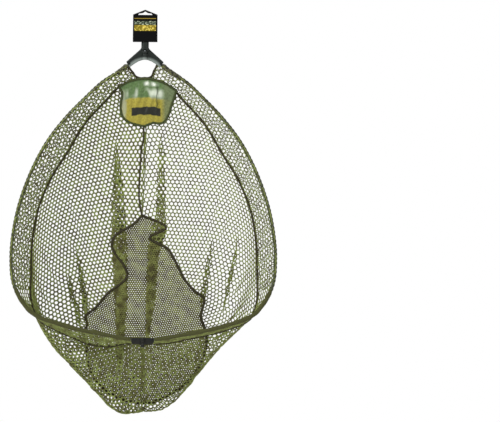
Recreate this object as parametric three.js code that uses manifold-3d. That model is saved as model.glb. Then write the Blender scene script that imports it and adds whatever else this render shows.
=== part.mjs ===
// Head of a folding landing net, hanging by its handle stud.
// Units are millimetres. +Z is up, +X is to the right of someone who looks into the mouth, +Y points back.
// The origin is the centre of the shoulder that a handle seats on. The hoop lies in the plane Y = 0,
// the mouth faces -Y, and the bag hangs behind and below it.
// The right half of the frame folds forward on a vertical pivot line, X = 0, Y = PIVOT_Y, onto the left half.
// So the left half stays at X < 0, the right half at X > 0, and both stay behind that line.
import * as THREE from 'three';
import { mergeVertices } from 'three/addons/utils/BufferGeometryUtils.js';
import Module from 'manifold-3d';

const wasm = await Module();
wasm.setup();

// ---- driving dimensions ----
const GAP = 0.3; // running clearance between neighbours
const PIVOT_Y = -9;
const ROD_R = 3.5;
const ROD_STEPS = 44;
const SLEEVE_R = 5.6; // padded fabric sleeve on the front bar
const SLEEVE_BORE_R = 4.4;
const SLEEVE_START = 0.66; // share of the hoop half where the front bar's sleeve begins
const SLEEVE_STOP = 20; // the sleeve ends this far before the hoop half does, beside the hinge
const WHIPPING_R = 6.2; // net gathered and bound round the rod beside the block
const WHIPPING_REACH = [28, 72]; // along the rod, from its end in the block
const BAND_REACH = [50, 22]; // the rim band starts and stops this far from the two ends of the hoop half
const BAND_GAP = 1.5; // from the whipping's outside to the band
const CLOTH = 2.4; // thickness of the netting's plain solids
const BADGE_THICKNESS = 1.2;
const SEAM_R = 2.1; // bound seams of the bag
const SEAM_ROOM = 5.6; // from a seam's middle to the netting on each side of it
const CENTRE_X = 1.8; // how far each half of the bag stays from the fold plane

const STEM_R = 9.5;
const BLOCK_DEPTH = 14;
const BLOCK_BEVEL = 2.5;
const SPLIT_Z = -24; // the right wing of the block starts below this
const ARCH_Z = -44.7; // underside of the block at its centre
const BARREL_R = 6.5;
const BLOCK_PIN_R = 2.5;
const SOCKET_RIVET_AT = 14; // along the rod, from its end in the block

const STUD_R = 4.75;
const STUD_TOP = 18;
const STUD_BASE = -13;

const SLIDER_HALF_WIDTH = 4.6;
const SLIDER_FRONT_Y = 5.7;
const SLIDER_BACK_Y = 10.6;
const SLIDER_Z = [-20, -12];
const RIDGE_Z = [-19.2, -16.6, -14]; // undersides of the slider's three thumb ridges
const RIDGE_HEIGHT = 1.2;
const CHANNEL_TOP_Z = -2.5;
const SPRING_R = 1.5;
const SPRING_WIRE_R = 0.35;
const SPRING_TURNS = 5;

const HINGE_HALF_LENGTH = 29;
const HINGE_DEPTH = 14;
const HINGE_Z = [-768, -751];
const HINGE_BARREL_R = 5;
const HINGE_BARREL_Z = [-775, -751];
const HINGE_PIN_R = 2;
const HINGE_RIVET_X = 21;
const RIVET_R = 1.4;
const RIVET_HEAD_R = 2.8;
const RIVET_HEAD = 1.2;

const CARD_WIDTH = 62;
const CARD_TOP = 82;
const CARD_EAVES = 69.5; // where the card's roof-shaped top starts
const CARD_WALL = 1.2;
const CARD_HALF_DEPTH = 12.5;
const CARD_FLAP_Z = 2.6; // the flap grips the stud's thread this far above the shoulder
const CARD_FOOT = 0.4;
const CARD_MEET_Z = 60; // above this the card's two faces lie together
const CARD_HOLE = [[-18, 68.8], [18, 68.8], [16, 72], [6, 73.4], [0, 77.5], [-6, 73.4], [-16, 72]];

// Centre line of one half of the hoop, as [X, Z], from inside the block's arm round to the front hinge.
const HOOP = [
  [30, -46], [58, -70.5], [108, -104], [146, -139.5], [198, -193], [246, -256], [287, -335], [318, -425],
  [333.5, -515], [334.5, -575], [331, -606], [322, -634], [308, -660], [286, -687], [256, -704], [222, -715],
  [188, -725], [145, -735], [101.6, -743], [50, -752.5], [12, -757],
];

// Three lines of one half of the bag, as [X, Z, Y], each from the top centre round to the bottom centre:
// the seam that joins the rim band to the wall, the middle of the wall, and the seam round the base panel.
const RIM_SEAM = [
  [CENTRE_X, -92, 13], [24, -95, 14], [45, -103, 16], [70, -117, 20], [98, -147, 27], [152, -206, 37],
  [198, -281, 45], [238, -345, 50], [270, -420, 54], [287, -510, 58], [290, -595, 61], [289, -662, 65],
  [273, -706, 68], [222, -737, 71], [174, -758, 73], [125, -770, 74], [60, -773, 75], [CENTRE_X, -768, 76],
];
const WALL_MIDDLE = [
  [CENTRE_X, -266, 62], [60, -290, 75], [120, -350, 105], [168, -440, 135], [200, -540, 155], [222, -640, 165],
  [225, -720, 165], [205, -790, 160], [165, -845, 150], [112, -882, 140], [55, -912, 130],
  [CENTRE_X, -918, 128],
];
const BASE_SEAM = [
  [CENTRE_X, -440, 104], [36, -462, 110], [64, -512, 122], [98, -590, 138], [135, -675, 150], [153, -740, 158],
  [155, -800, 162], [138, -860, 165], [102, -902, 166], [52, -922, 166], [CENTRE_X, -928, 166],
];
const BASE_CENTRE = [[-440, 104], [-600, 146], [-760, 168], [-928, 166]].map(([z, y]) => [CENTRE_X, z, y]);

// ---- materials ----
const finish = (color, roughness, metalness = 0) =>
  new THREE.MeshStandardMaterial({ color, roughness, metalness });
const blockNylon = finish(0x3a4440, 0.45);
const rodLacquer = finish(0x4a5226, 0.5);
const hingeNylon = finish(0x17180f, 0.5);
const sleeveFabric = finish(0x565a24, 0.85);
const netTwine = finish(0x6a6a50, 0.9);
const seamTape = finish(0x33300f, 0.85);
const labelFabric = finish(0x7f9154, 0.4);
const cardStock = finish(0x0d0d0e, 0.35);
const brass = finish(0xb08d45, 0.3, 1);
const steel = finish(0x8c8f92, 0.3, 1);

// ---- solids ----
function solid(geometry) {
  const bare = geometry.index ? geometry.toNonIndexed() : geometry.clone();
  bare.deleteAttribute('normal');
  bare.deleteAttribute('uv');
  const merged = mergeVertices(bare, 1e-4);
  const vertProperties = new Float32Array(merged.attributes.position.array);
  const triVerts = new Uint32Array(merged.index.array);
  return new wasm.Manifold(new wasm.Mesh({ numProp: 3, vertProperties, triVerts }));
}

function geometryOf(manifold) {
  const { vertProperties, triVerts } = manifold.getMesh();
  const geometry = new THREE.BufferGeometry();
  geometry.setAttribute('position', new THREE.BufferAttribute(new Float32Array(vertProperties), 3));
  geometry.setIndex(new THREE.BufferAttribute(new Uint32Array(triVerts), 1));
  geometry.computeVertexNormals();
  return geometry;
}

function box([x0, x1], [y0, y1], [z0, z1]) {
  const block = new THREE.BoxGeometry(x1 - x0, y1 - y0, z1 - z0);
  return block.translate((x0 + x1) / 2, (y0 + y1) / 2, (z0 + z1) / 2);
}

function post(radius, x, y, [z0, z1], sides = 24) {
  const cylinder = new THREE.CylinderGeometry(radius, radius, z1 - z0, sides).rotateX(Math.PI / 2);
  return cylinder.translate(x, y, (z0 + z1) / 2);
}

function crossPin(radius, x, z, halfLength, sides = 12) {
  return new THREE.CylinderGeometry(radius, radius, 2 * halfLength, sides).translate(x, 0, z);
}

// A closed plate: an outline in X and Z, given some depth along Y and rounded edges.
function plate(outline, depth, bevel) {
  const shape = new THREE.Shape(outline.map(([x, z]) => new THREE.Vector2(x, z)));
  const geometry = new THREE.ExtrudeGeometry(shape, {
    depth: depth - 2 * bevel, bevelThickness: bevel, bevelSize: bevel, bevelOffset: -bevel, bevelSegments: 2,
  });
  return geometry.translate(0, 0, bevel - depth / 2).rotateX(Math.PI / 2);
}

function circle(radius, bore = 0) {
  const shape = new THREE.Shape().absarc(0, 0, radius, 0, 2 * Math.PI);
  if (bore) shape.holes.push(new THREE.Path().absarc(0, 0, bore, 0, 2 * Math.PI, true));
  return shape;
}

function sweep(curve, radius, steps, sides = 10, bore = 0) {
  const options = { extrudePath: curve, steps, curveSegments: sides / 2, bevelEnabled: false };
  return new THREE.ExtrudeGeometry(circle(radius, bore), options);
}

const through = (points) => new THREE.CatmullRomCurve3(points, false, 'centripetal');
const along = (curve, from, to, count) =>
  through(Array.from({ length: count + 1 }, (_, i) => curve.getPointAt(from + ((to - from) * i) / count)));
const line = (points, side) => through(points.map(([x, z, y = 0]) => new THREE.Vector3(side * x, y, z)));

// A closed sheet of some thickness on a surface, which is a function of two shares from 0 to 1.
function sheet(surface, columns, rows, thickness = CLOTH) {
  const width = columns + 1;
  const count = width * (rows + 1);
  const positions = new Float32Array(6 * count);
  for (let j = 0; j <= rows; j++) {
    for (let i = 0; i <= columns; i++) {
      const [u, v, step] = [i / columns, j / rows, 0.004];
      const acrossU = surface(Math.min(u + step, 1), v).sub(surface(Math.max(u - step, 0), v));
      const acrossV = surface(u, Math.min(v + step, 1)).sub(surface(u, Math.max(v - step, 0)));
      const normal = acrossU.cross(acrossV).normalize();
      for (const face of [0, 1]) {
        const point = surface(u, v).addScaledVector(normal, (face - 0.5) * thickness);
        point.toArray(positions, 3 * (face * count + j * width + i));
      }
    }
  }
  const index = [];
  const quad = (a, b, c, d) => index.push(a, b, c, a, c, d);
  for (let j = 0; j < rows; j++) {
    for (let i = 0; i < columns; i++) {
      const a = j * width + i;
      quad(a, a + width, a + width + 1, a + 1);
      quad(count + a, count + a + 1, count + a + width + 1, count + a + width);
    }
  }
  for (let i = 0; i < columns; i++) {
    const last = rows * width + i;
    quad(i, i + 1, count + i + 1, count + i);
    quad(last, count + last, count + last + 1, last + 1);
  }
  for (let j = 0; j < rows; j++) {
    const [a, b] = [j * width, j * width + columns];
    quad(a, count + a, count + a + width, a + width);
    quad(b, b + width, count + b + width, count + b);
  }
  const geometry = new THREE.BufferGeometry();
  geometry.setAttribute('position', new THREE.BufferAttribute(positions, 3));
  geometry.setIndex(index);
  const made = solid(geometry);
  if (made.volume() < 0) geometry.setIndex(index.reverse());
  geometry.computeVertexNormals();
  return geometry;
}

const model = new THREE.Group();
const halves = { '-1': new THREE.Group(), 1: new THREE.Group() };
model.add(halves[-1], halves[1]);
const sideName = { '-1': 'left', 1: 'right' };

function add(group, name, geometry, material) {
  const mesh = new THREE.Mesh(geometry, material);
  mesh.name = name;
  group.add(mesh);
}

// ---- hoop ----
const hoop = { '-1': line(HOOP, -1), 1: line(HOOP, 1) };
const hoopLength = hoop[1].getLength();
const rodPlace = (side, distance) => hoop[side].getPointAt(distance / hoopLength);
const socketRivetPlace = (side) => rodPlace(side, SOCKET_RIVET_AT);
const hingeRivetPlace = (side) => rodPlace(side, hoopLength - (HINGE_RIVET_X - HOOP.at(-1)[0]));

function rivet(x, z, gripHalf) {
  const shank = solid(crossPin(RIVET_R, x, z, gripHalf + GAP));
  const head = (y) => solid(crossPin(RIVET_HEAD_R, x, z, RIVET_HEAD / 2).translate(0, y, 0));
  const out = gripHalf + GAP + RIVET_HEAD / 2 - 0.05;
  return shank.add(head(out)).add(head(-out));
}

const rodBore = (side) => solid(sweep(hoop[side], ROD_R + GAP, ROD_STEPS, 12));

// The rod stops a little short of the floors of its bores.
function rod(side) {
  const socketRivet = socketRivetPlace(side);
  const hingeRivet = hingeRivetPlace(side);
  const [socketEnd, hingeEnd] = [HOOP[0][0] + 2 * GAP, HOOP.at(-1)[0] + 2 * GAP];
  return solid(sweep(hoop[side], ROD_R, ROD_STEPS, 10))
    .subtract(solid(crossPin(RIVET_R + GAP, socketRivet.x, socketRivet.z, 2 * ROD_R)))
    .subtract(solid(crossPin(RIVET_R + GAP, hingeRivet.x, hingeRivet.z, 2 * ROD_R)))
    .subtract(solid(box([-socketEnd, socketEnd], [-9, 9], [-70, -30])))
    .subtract(solid(box([-hingeEnd, hingeEnd], [-9, 9], [-780, -740])));
}

// ---- spreader block ----
const BLOCK_OUTLINE = [
  [9.4, -10], [9.4, -15], [12, -19], [47.5, -50.8], [38.6, -64.5], [27, -55.5], [16, -49], [6, -45.6],
];

function blockBlank() {
  const mirrored = BLOCK_OUTLINE.map(([x, z]) => [-x, z]).reverse();
  const arms = solid(plate([...BLOCK_OUTLINE, [0, ARCH_Z], ...mirrored], BLOCK_DEPTH, BLOCK_BEVEL));
  return arms.add(solid(post(STEM_R, 0, 0, [SPLIT_Z + 4, 0], 32)));
}

// The pivot barrel's knuckles, from the top: fixed, moving, fixed.
const knuckleEnds = [SPLIT_Z, SPLIT_Z - 6.5, SPLIT_Z - 14, ARCH_Z];
const knuckle = (n, radius, spare) =>
  solid(post(radius, 0, PIVOT_Y, [knuckleEnds[n + 1] - spare, knuckleEnds[n] + spare]));
const pinBore = () => solid(post(BLOCK_PIN_R + GAP, 0, PIVOT_Y, [ARCH_Z - 5, SPLIT_Z + 2.5]));
const socketRivetBore = (side) => {
  const place = socketRivetPlace(side);
  return solid(crossPin(RIVET_R + GAP, place.x, place.z, BLOCK_DEPTH));
};

function blockBody() {
  const rightWingRoom = solid(box([-GAP, 60], [-20, 20], [-80, SPLIT_Z]));
  const channelHalf = SLIDER_HALF_WIDTH + GAP;
  const channelDepth = [SLIDER_FRONT_Y - GAP, 12];
  const channel = solid(box([-channelHalf, channelHalf], channelDepth, [SPLIT_Z - 1, CHANNEL_TOP_Z]));
  const keptUnderTongue = solid(box([-60, -GAP], [-20, 20], [-80, SPLIT_Z - GAP]));
  return blockBlank()
    .subtract(rightWingRoom)
    .subtract(knuckle(1, BARREL_R + GAP, GAP / 2))
    .add(knuckle(0, BARREL_R, -GAP / 2))
    .add(knuckle(2, BARREL_R, -GAP / 2))
    .subtract(channel.subtract(keptUnderTongue))
    .subtract(pinBore())
    .subtract(rodBore(-1))
    .subtract(socketRivetBore(-1))
    .subtract(solid(post(STUD_R + GAP, 0, 0, [STUD_BASE - GAP, 1])));
}

function blockWing() {
  const wingRoom = solid(box([GAP, 60], [-20, 20], [-80, SPLIT_Z - GAP]));
  return blockBlank()
    .intersect(wingRoom)
    .subtract(knuckle(0, BARREL_R + GAP, GAP / 2))
    .subtract(knuckle(2, BARREL_R + GAP, GAP / 2))
    .add(knuckle(1, BARREL_R, -GAP / 2))
    .subtract(pinBore())
    .subtract(rodBore(1))
    .subtract(socketRivetBore(1));
}

function lockSlider() {
  const width = [-SLIDER_HALF_WIDTH, SLIDER_HALF_WIDTH];
  const pad = solid(box(width, [SLIDER_FRONT_Y, SLIDER_BACK_Y - 1], SLIDER_Z));
  const tongue = solid(box([1, SLIDER_HALF_WIDTH], [SLIDER_FRONT_Y, 7.8], [SPLIT_Z, SLIDER_Z[0] + 1]));
  const ridge = (z) => solid(box(width, [SLIDER_BACK_Y - 1.6, SLIDER_BACK_Y], [z, z + RIDGE_HEIGHT]));
  return RIDGE_Z.reduce((slider, z) => slider.add(ridge(z)), pad.add(tongue));
}

class Helix extends THREE.Curve {
  getPoint(t, target = new THREE.Vector3()) {
    const [low, high] = [SLIDER_Z[1] + 0.8, CHANNEL_TOP_Z - 0.8];
    const angle = 2 * Math.PI * SPRING_TURNS * t;
    const y = SLIDER_FRONT_Y + SPRING_R + 0.5;
    return target.set(SPRING_R * Math.cos(angle), y + SPRING_R * Math.sin(angle), low + (high - low) * t);
  }
}

// ---- front hinge ----
const hingeThird = (HINGE_BARREL_Z[1] - HINGE_BARREL_Z[0]) / 3;
const hingeKnuckle = (n, radius, spare) => {
  const low = HINGE_BARREL_Z[0] + n * hingeThird;
  return solid(post(radius, 0, PIVOT_Y, [low - spare, low + hingeThird + spare], 20));
};

// The left leaf has the outer two knuckles and the right leaf has the middle one.
function hingeLeaf(side) {
  const own = side < 0 ? [0, 2] : [1];
  const other = side < 0 ? [1] : [0, 2];
  const outline = [
    [GAP, HINGE_Z[0]], [HINGE_HALF_LENGTH - 4, HINGE_Z[0] + 1.5], [HINGE_HALF_LENGTH, HINGE_Z[0] + 5],
    [HINGE_HALF_LENGTH, HINGE_Z[1] - 1], [GAP, HINGE_Z[1]],
  ].map(([x, z]) => [side * x, z]);
  let leaf = solid(plate(side < 0 ? outline.reverse() : outline, HINGE_DEPTH, 1.5));
  for (const n of other) leaf = leaf.subtract(hingeKnuckle(n, HINGE_BARREL_R + GAP, GAP / 2));
  for (const n of own) leaf = leaf.add(hingeKnuckle(n, HINGE_BARREL_R, -GAP / 2));
  const place = hingeRivetPlace(side);
  return leaf
    .subtract(solid(post(HINGE_PIN_R + GAP, 0, PIVOT_Y, [HINGE_BARREL_Z[0] - 1, HINGE_BARREL_Z[1] + 1])))
    .subtract(rodBore(side))
    .subtract(solid(crossPin(RIVET_R + GAP, place.x, place.z, HINGE_DEPTH)));
}

// ---- bag ----
const bagLines = (side) => ({
  rim: line(RIM_SEAM, side),
  middle: line(WALL_MIDDLE, side),
  base: line(BASE_SEAM, side),
  centre: line(BASE_CENTRE, side),
});

// The seams and the netting share these columns, so that their facets stay side by side.
const COLUMNS = 24;
const PIPING_END = 0.024; // share of the rim seam that edges the opening under the block
const BAND_START = PIPING_END + 0.014;
const BAND_END = 1 - 1 / COLUMNS;

function bagSurface(lines) {
  return (u, v) => {
    const [a, m, b] = [lines.rim, lines.middle, lines.base].map((curve) => curve.getPointAt(u));
    a.multiplyScalar((1 - v) * (1 - 2 * v));
    return a.addScaledVector(m, 4 * v * (1 - v)).addScaledVector(b, v * (2 * v - 1));
  };
}

// The wall stops beside its seams.
function bagWall(surface) {
  return (u, v) => {
    const room = [[0, 0.01], [1, 0.99]].map(([at, near]) => surface(u, at).distanceTo(surface(u, near)));
    const [from, to] = [0.01 * SEAM_ROOM / room[0], 1 - 0.01 * SEAM_ROOM / room[1]];
    return surface(u, from + (to - from) * v);
  };
}

function rimBand(side, lines) {
  const [rodFrom, rodTo] = [BAND_REACH[0] / hoopLength, 1 - BAND_REACH[1] / hoopLength];
  return (u, v) => {
    const outer = hoop[side].getPointAt(rodFrom + (rodTo - rodFrom) * u);
    const inner = lines.rim.getPointAt(BAND_START + (BAND_END - BAND_START) * u);
    const width = outer.distanceTo(inner);
    const from = (WHIPPING_R + BAND_GAP) / width;
    return outer.lerp(inner, from + (1 - SEAM_ROOM / width - from) * v);
  };
}

// The base panel stops short of the points where its two edges meet.
const BASE_ENDS = [0.05, 0.95];

function basePanel(lines) {
  return (u, v) => {
    const share = BASE_ENDS[0] + (BASE_ENDS[1] - BASE_ENDS[0]) * u;
    const edge = lines.base.getPointAt(share);
    const middle = lines.centre.getPointAt(share);
    const from = SEAM_ROOM / edge.distanceTo(middle);
    return edge.lerp(middle, from + (1 - from) * v);
  };
}

// The badge lies on the front of the wall, under the opening, and its foot is rounded.
// Its columns and rows are shares of the wall's.
const BADGE_COLUMNS = [0.002, 0.072];
const BADGE_ROWS = [0.02, 0.33];
const BADGE_ROUNDING = 0.28;

function badge(surface) {
  return (u, v) => {
    const share = BADGE_COLUMNS[0] + (BADGE_COLUMNS[1] - BADGE_COLUMNS[0]) * u;
    const depth = BADGE_ROWS[1] * (1 - BADGE_ROUNDING * u ** 3);
    const point = surface(share, BADGE_ROWS[0] + (depth - BADGE_ROWS[0]) * v);
    point.y -= CLOTH + 1;
    return point;
  };
}

// The piping starts under the whipping, beside the block, and runs down to the middle of the opening's foot.
const PIPING_START = 27; // along the rod, from its end in the block
const PIPING_DROP = [5.9, 1, 6.6]; // inward, back and down from the rod's centre line

function openingPiping(side, lines) {
  const start = rodPlace(side, PIPING_START);
  const [inward, back, down] = PIPING_DROP;
  const corner = lines.rim.getPointAt(PIPING_END);
  const top = new THREE.Vector3(start.x - side * inward, back, start.z - down);
  const halfway = top.clone().lerp(corner, 0.5);
  return through([top, halfway, corner, lines.rim.getPointAt(PIPING_END / 2), lines.rim.getPointAt(0)]);
}

const BACK_SEAM_X = -3.2;
const BACK_SEAM_ROWS = [0.35, 0.5, 0.65, 0.8, 0.96]; // shares of the wall's depth

function backSeam(surface) {
  const points = BACK_SEAM_ROWS.map((v) => surface(0, v));
  return through(points.map((p) => new THREE.Vector3(BACK_SEAM_X, p.y - CLOTH / 2 - SEAM_R - 1, p.z)));
}

function addHalf(side) {
  const group = halves[side];
  const name = (what) => `${what}_${sideName[side]}`;
  const lines = bagLines(side);
  const surface = bagSurface(lines);
  const socketRivet = socketRivetPlace(side);
  const hingeRivet = hingeRivetPlace(side);
  add(group, name('frame_rod'), geometryOf(rod(side)), rodLacquer);
  add(group, name('front_hinge_leaf'), geometryOf(hingeLeaf(side)), hingeNylon);
  add(group, name('socket_rivet'), geometryOf(rivet(socketRivet.x, socketRivet.z, BLOCK_DEPTH / 2)), steel);
  add(group, name('hinge_rivet'), geometryOf(rivet(hingeRivet.x, hingeRivet.z, HINGE_DEPTH / 2)), steel);
  const whipped = along(hoop[side], WHIPPING_REACH[0] / hoopLength, WHIPPING_REACH[1] / hoopLength, 6);
  add(group, name('net_whipping'), sweep(whipped, WHIPPING_R, 6, 10, SLEEVE_BORE_R), seamTape);
  const sleeved = along(hoop[side], SLEEVE_START, 1 - SLEEVE_STOP / hoopLength, 24);
  add(group, name('bar_sleeve'), sweep(sleeved, SLEEVE_R, 24, 10, SLEEVE_BORE_R), sleeveFabric);
  add(group, name('rim_band'), sheet(rimBand(side, lines), COLUMNS - 2, 2), netTwine);
  const seamed = along(lines.rim, PIPING_END + 0.006, 1, COLUMNS);
  add(group, name('rim_seam'), sweep(seamed, SEAM_R, COLUMNS, 6), seamTape);
  add(group, name('bag_wall'), sheet(bagWall(surface), COLUMNS, 8), netTwine);
  add(group, name('base_seam'), sweep(lines.base, SEAM_R, COLUMNS, 6), seamTape);
  add(group, name('bag_base'), sheet(basePanel(lines), 12, 4), netTwine);
  add(group, name('badge'), sheet(badge(surface), 6, 6, BADGE_THICKNESS), labelFabric);
  add(group, name('opening_piping'), sweep(openingPiping(side, lines), SEAM_R, 10, 6), seamTape);
  if (side < 0) add(group, 'back_seam', sweep(backSeam(surface), SEAM_R - 0.3, 12, 6), seamTape);
}

// ---- hang card ----
function hangCard() {
  const half = CARD_WIDTH / 2;
  const [out, wall, foot] = [CARD_HALF_DEPTH, CARD_WALL, CARD_FOOT];
  const face = [[-half, foot], [half, foot], [half, CARD_EAVES], [0, CARD_TOP], [-half, CARD_EAVES]];
  const silhouette = solid(plate(face, 4 * out, 0.01));
  const flapTop = CARD_FLAP_Z + wall;
  const fold = new THREE.Shape([
    [-out, foot], [wall - out, foot], [wall - out, CARD_FLAP_Z], [out - wall, CARD_FLAP_Z], [out - wall, foot],
    [out, foot], [wall, CARD_MEET_Z], [wall, CARD_TOP + 1], [-wall, CARD_TOP + 1], [-wall, CARD_MEET_Z],
  ].map(([y, z]) => new THREE.Vector2(y, z)));
  const inside = [[wall - out + GAP, flapTop], [out - wall - GAP, flapTop], [0, CARD_MEET_Z - 4]];
  fold.holes.push(new THREE.Path(inside.map(([y, z]) => new THREE.Vector2(y, z))));
  const strip = new THREE.ExtrudeGeometry(fold, { depth: CARD_WIDTH, bevelEnabled: false });
  strip.rotateX(Math.PI / 2).rotateZ(Math.PI / 2).translate(-half, 0, 0);
  return solid(strip)
    .intersect(silhouette)
    .subtract(solid(plate(CARD_HOLE, 2 * out, 0.01)))
    .subtract(solid(post(STUD_R + GAP, 0, 0, [0, 30])));
}

addHalf(-1);
addHalf(1);
add(halves[-1], 'block_body', geometryOf(blockBody()), blockNylon);
add(halves[1], 'block_wing', geometryOf(blockWing()), blockNylon);
add(halves[-1], 'block_pivot_pin', post(BLOCK_PIN_R, 0, PIVOT_Y, [ARCH_Z - 0.6, SPLIT_Z + 2], 16), steel);
const hingePinZ = [HINGE_BARREL_Z[0] - 0.6, HINGE_BARREL_Z[1] + 0.6];
add(halves[-1], 'front_hinge_pin', post(HINGE_PIN_R, 0, PIVOT_Y, hingePinZ, 12), steel);
add(halves[-1], 'handle_stud', post(STUD_R, 0, 0, [STUD_BASE, STUD_TOP], 20), brass);
add(model, 'lock_slider', geometryOf(lockSlider()), hingeNylon);
add(halves[-1], 'lock_spring', sweep(new Helix(), SPRING_WIRE_R, 50, 6), steel);
add(model, 'hang_card', geometryOf(hangCard()), cardStock);

export default model;
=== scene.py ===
"""Looks of a folding landing net: knotless netting, bound seams, padded bar, moulded block, hinge and hang card.

Tables of points are in millimetres as [X, Z, Y], like the frame's: +Z up, +Y to the back. Meshes are in metres.
"""
import math

import bpy
import numpy as np
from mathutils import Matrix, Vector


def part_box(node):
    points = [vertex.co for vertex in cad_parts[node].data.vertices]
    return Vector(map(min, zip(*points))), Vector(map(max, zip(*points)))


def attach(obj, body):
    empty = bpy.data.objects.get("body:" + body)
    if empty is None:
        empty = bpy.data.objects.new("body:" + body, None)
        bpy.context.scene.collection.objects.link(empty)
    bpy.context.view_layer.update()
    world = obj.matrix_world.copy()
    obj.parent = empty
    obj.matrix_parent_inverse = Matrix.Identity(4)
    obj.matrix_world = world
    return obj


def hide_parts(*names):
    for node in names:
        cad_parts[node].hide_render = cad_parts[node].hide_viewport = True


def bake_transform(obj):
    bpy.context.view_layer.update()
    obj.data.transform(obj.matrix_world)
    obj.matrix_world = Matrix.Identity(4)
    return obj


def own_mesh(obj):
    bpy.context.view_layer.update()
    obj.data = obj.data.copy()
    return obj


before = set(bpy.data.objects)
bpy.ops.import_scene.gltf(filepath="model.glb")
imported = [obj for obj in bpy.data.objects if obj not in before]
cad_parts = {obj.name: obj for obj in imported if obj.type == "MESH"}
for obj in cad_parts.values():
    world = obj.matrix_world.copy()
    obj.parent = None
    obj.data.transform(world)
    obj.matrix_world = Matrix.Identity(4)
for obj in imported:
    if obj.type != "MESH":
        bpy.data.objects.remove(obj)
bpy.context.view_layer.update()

MM = 0.001

# ---- driving dimensions, millimetres ----
ROD_R = 3.5
SLEEVE_R = 5.4
TAPE_R = 3.2            # bound seams of the bag
SLEEVE_START = 0.66     # share of the hoop half where the front bar's sleeve begins
WALL_MESH = 11.2        # across the flats of one cell
WALL_TWINE = {"left": 4.8, "right": 3.6}
BASE_MESH = 6.0
BASE_TWINE = 4.4
LACING_STEP = 11.2      # one turn of the lacing for every cell along the rim

# Centre line of one half of the hoop, from inside the block's arm round to the front hinge.
HOOP = [
    [30, -46], [58, -70.5], [108, -104], [146, -139.5], [198, -193], [246, -256], [287, -335], [318, -425],
    [333.5, -515], [334.5, -575], [331, -606], [322, -634], [308, -660], [286, -687], [256, -704], [222, -715],
    [188, -725], [145, -735], [101.6, -743], [50, -752.5], [12, -757],
]
# Seam between the rim band and the wall, one half, from the top centre round to the bottom centre.
# Under the bar it hangs a little lower on the left.
RIM_SEAM_UPPER = [
    [0, -91, 13], [24, -95, 14], [45, -103, 16], [70, -117, 20], [98, -147, 27], [152, -206, 37],
    [198, -281, 45],
    [238, -345, 50], [270, -420, 54], [287, -510, 58], [290, -595, 61], [289, -662, 65],
]
RIM_SEAM = {
    "left": [*RIM_SEAM_UPPER, [272, -706, 68], [222, -737, 71], [174, -758, 73], [144, -770, 74],
             [84, -777, 75],
             [48, -769, 75], [0, -769, 76]],
    "right": [*RIM_SEAM_UPPER, [272, -704, 68], [222, -729, 71], [174, -743, 73], [136, -751, 74],
              [71, -765, 75],
              [32, -769, 75], [0, -769, 76]],
}
# The line halfway down the wall, where the bag is widest. The bag hangs fuller on its left.
WALL_MIDDLE_TOP = [[0, -266, 62], [60, -290, 75], [120, -350, 105], [168, -440, 135], [200, -540, 150]]
WALL_MIDDLE = {
    "left": [*WALL_MIDDLE_TOP, [232, -640, 158], [254, -702, 150], [233, -768, 142], [193, -824, 136],
             [131, -886, 130], [62, -938, 128], [0, -928, 128]],
    "right": [*WALL_MIDDLE_TOP, [220, -640, 158], [222, -702, 150], [190, -768, 142], [161, -820, 136],
              [106, -882, 130], [54, -924, 128], [0, -928, 128]],
}
# Seam round the base panel before its pleats are folded in, from the back seam down each side.
BASE_SEAM = {
    "left": [
        [-8, -440, 104], [-27, -465, 110], [-42, -485, 116], [-54, -520, 123], [-65, -556, 130],
        [-78, -598, 138],
        [-108, -655, 147], [-150, -719, 156], [-152, -780, 161], [-138, -851, 165], [-115, -881, 166],
        [-87, -904, 166], [-46, -922, 166], [-10, -928, 166],
    ],
    "right": [
        [-8, -440, 104], [7, -449, 106], [14, -457, 108], [20, -466, 110], [34, -484, 115], [48, -505, 120],
        [62, -528, 125], [80, -562, 131], [101, -603, 139], [140, -655, 147], [147, -701, 154],
        [158, -744, 158],
        [159, -782, 161], [142, -831, 164], [120, -862, 165], [98, -884, 166], [60, -908, 166], [22, -925, 166],
        [-10, -928, 166],
    ],
}
# How the wall hangs: shares of the rim seam's length, and of the base seam's length straight below them.
HANG_FROM = [0, 0.088, 0.35, 0.55, 0.75, 0.88, 1]
HANG_TO = [0, 0.217, 0.40, 0.52, 0.66, 0.82, 1]

# Pleats that gravity pulls down the netting. Each row is a depth below the shoulder, the pleat's middle,
# its half width, and how far it is closed: above 0.6 its three layers lie on each other.
PLEATS = [
    [[235, -74, 8, 0], [300, -73, 10, 1.6], [400, -70, 14, 2], [520, -66, 17.5, 2], [655, -62, 15, 2],
     [800, -64, 11, 1.6], [885, -64.5, 6, 0]],
    [[205, 42, 8, 0], [270, 42, 9, 1.7], [440, 40, 12, 2], [485, 34, 18, 2], [540, 20, 12, 2], [655, 15, 11, 2],
     [757, 6, 6, 1.5], [805, 4, 5, 0]],
    [[570, -200, 8, 0], [620, -196, 8, 1.5], [700, -176, 8, 1.7], [780, -156, 8, 0]],
    [[500, -186, 7, 0], [560, -173, 8, 1.5], [680, -153, 9, 1.8], [760, -146, 8, 0]],
    [[480, 176, 7, 0], [540, 168, 8, 1.6], [640, 152, 9, 1.8], [730, 142, 8, 0]],
    [[480, 240, 7, 0], [540, 233, 7, 1.4], [650, 210, 7, 1.5], [720, 196, 7, 0]],
    [[740, -6, 3, 0], [790, -6, 3, 1.4], [860, -6, 3, 1.4], [900, -6, 3, 0]],
]
PLEAT_PLY = 3.0         # from one layer of a pleat to the next
SPARK_GRAIN = 0.9       # spark texture of a moulded face
SLEEVE_WALL = 0.8       # cloth of the sleeve where it lies on the rod
HINGE_GAP = 19          # from the fold line to the end of the sleeve
WHIPPING_END = {"left": 54, "right": 76}
MOULDING_VOXEL, SLIDER_VOXEL = 0.7, 0.42

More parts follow.
